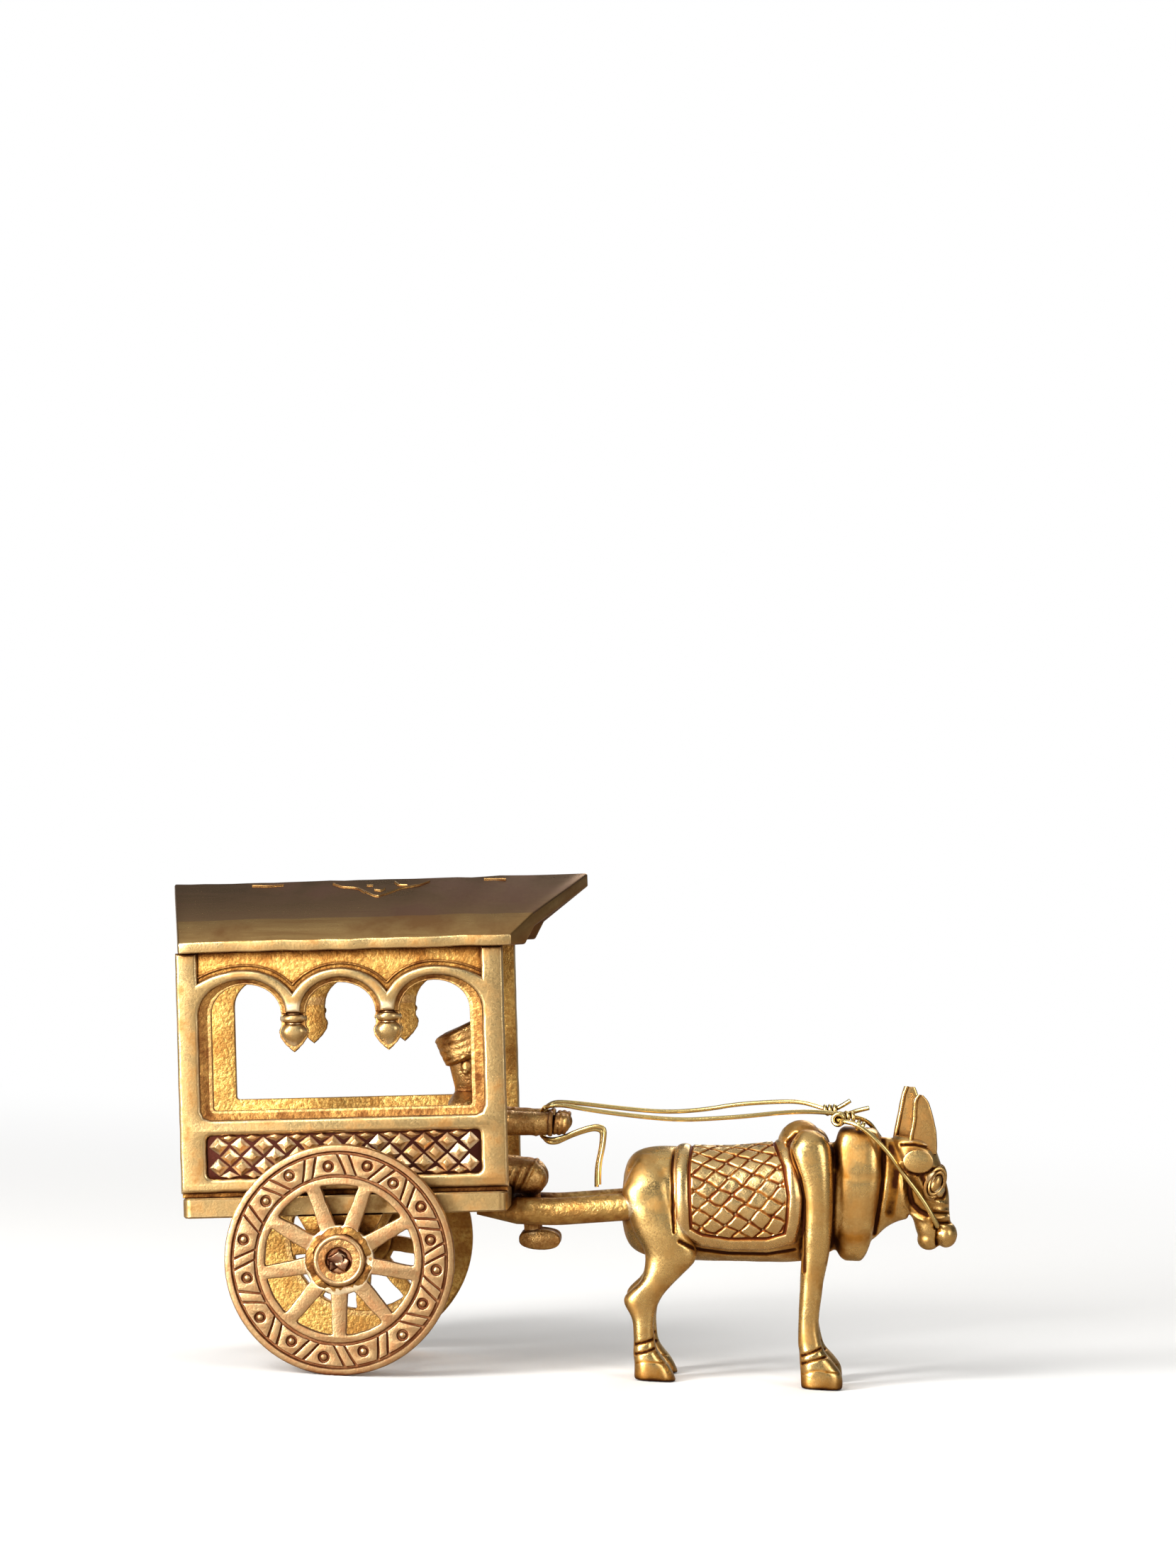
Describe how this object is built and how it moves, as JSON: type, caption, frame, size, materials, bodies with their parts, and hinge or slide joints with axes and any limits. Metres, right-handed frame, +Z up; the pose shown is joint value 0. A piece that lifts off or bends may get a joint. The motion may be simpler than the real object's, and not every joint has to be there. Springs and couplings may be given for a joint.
{
  "type": "miniature bullock cart",
  "caption": "Cast brass miniature of a roofed bullock cart with pierced side walls, spoked wheels, shafts, a humped bullock and a seated driver with wire reins.",
  "frame": {"origin": "centre of the overall box at ground level, under the wheels and hooves", "axes": "+X ahead, from the cart to the bullock; +Y to the cart's left; +Z up"},
  "size_m": [0.1443, 0.049, 0.09],
  "materials": {
    "cast_brass": "cast and brushed, polished high points and dark brown patina in the recesses",
    "wheel_brass": "cast, turned face with dark patina in the grooves",
    "roof_brass": "cast, smooth brown patina",
    "bullock_brass": "cast and polished, dark patina in the folds",
    "driver_brass": "cast, dark patina",
    "rivet_brass": "hammered ends",
    "brass_wire": "bright drawn wire"
  },
  "bodies": {
    "cart": {"floor_plate": "cast_brass", "side_wall_right": "cast_brass", "side_wall_left": "cast_brass", "roof": "roof_brass", "axle_bracket_right": "cast_brass", "axle_bracket_left": "cast_brass", "axle": "rivet_brass", "shaft_right": "cast_brass", "shaft_left": "cast_brass", "driver": "driver_brass", "bullock": "bullock_brass", "rein_right": "brass_wire", "rein_left": "brass_wire", "nose_wire": "brass_wire"},
    "wheel_right": {"wheel_right": "wheel_brass"},
    "wheel_left": {"wheel_left": "wheel_brass"}
  },
  "joints": [
    {"name": "wheel_right_spin", "type": "hinge", "parent": "cart", "child": "wheel_right", "pos_m": [-0.0369, -0.0225, 0.0203], "axis": [0, 1, 0], "continuous": true},
    {"name": "wheel_left_spin", "type": "hinge", "parent": "cart", "child": "wheel_left", "pos_m": [-0.0369, 0.0225, 0.0203], "axis": [0, 1, 0], "continuous": true}
  ]
}
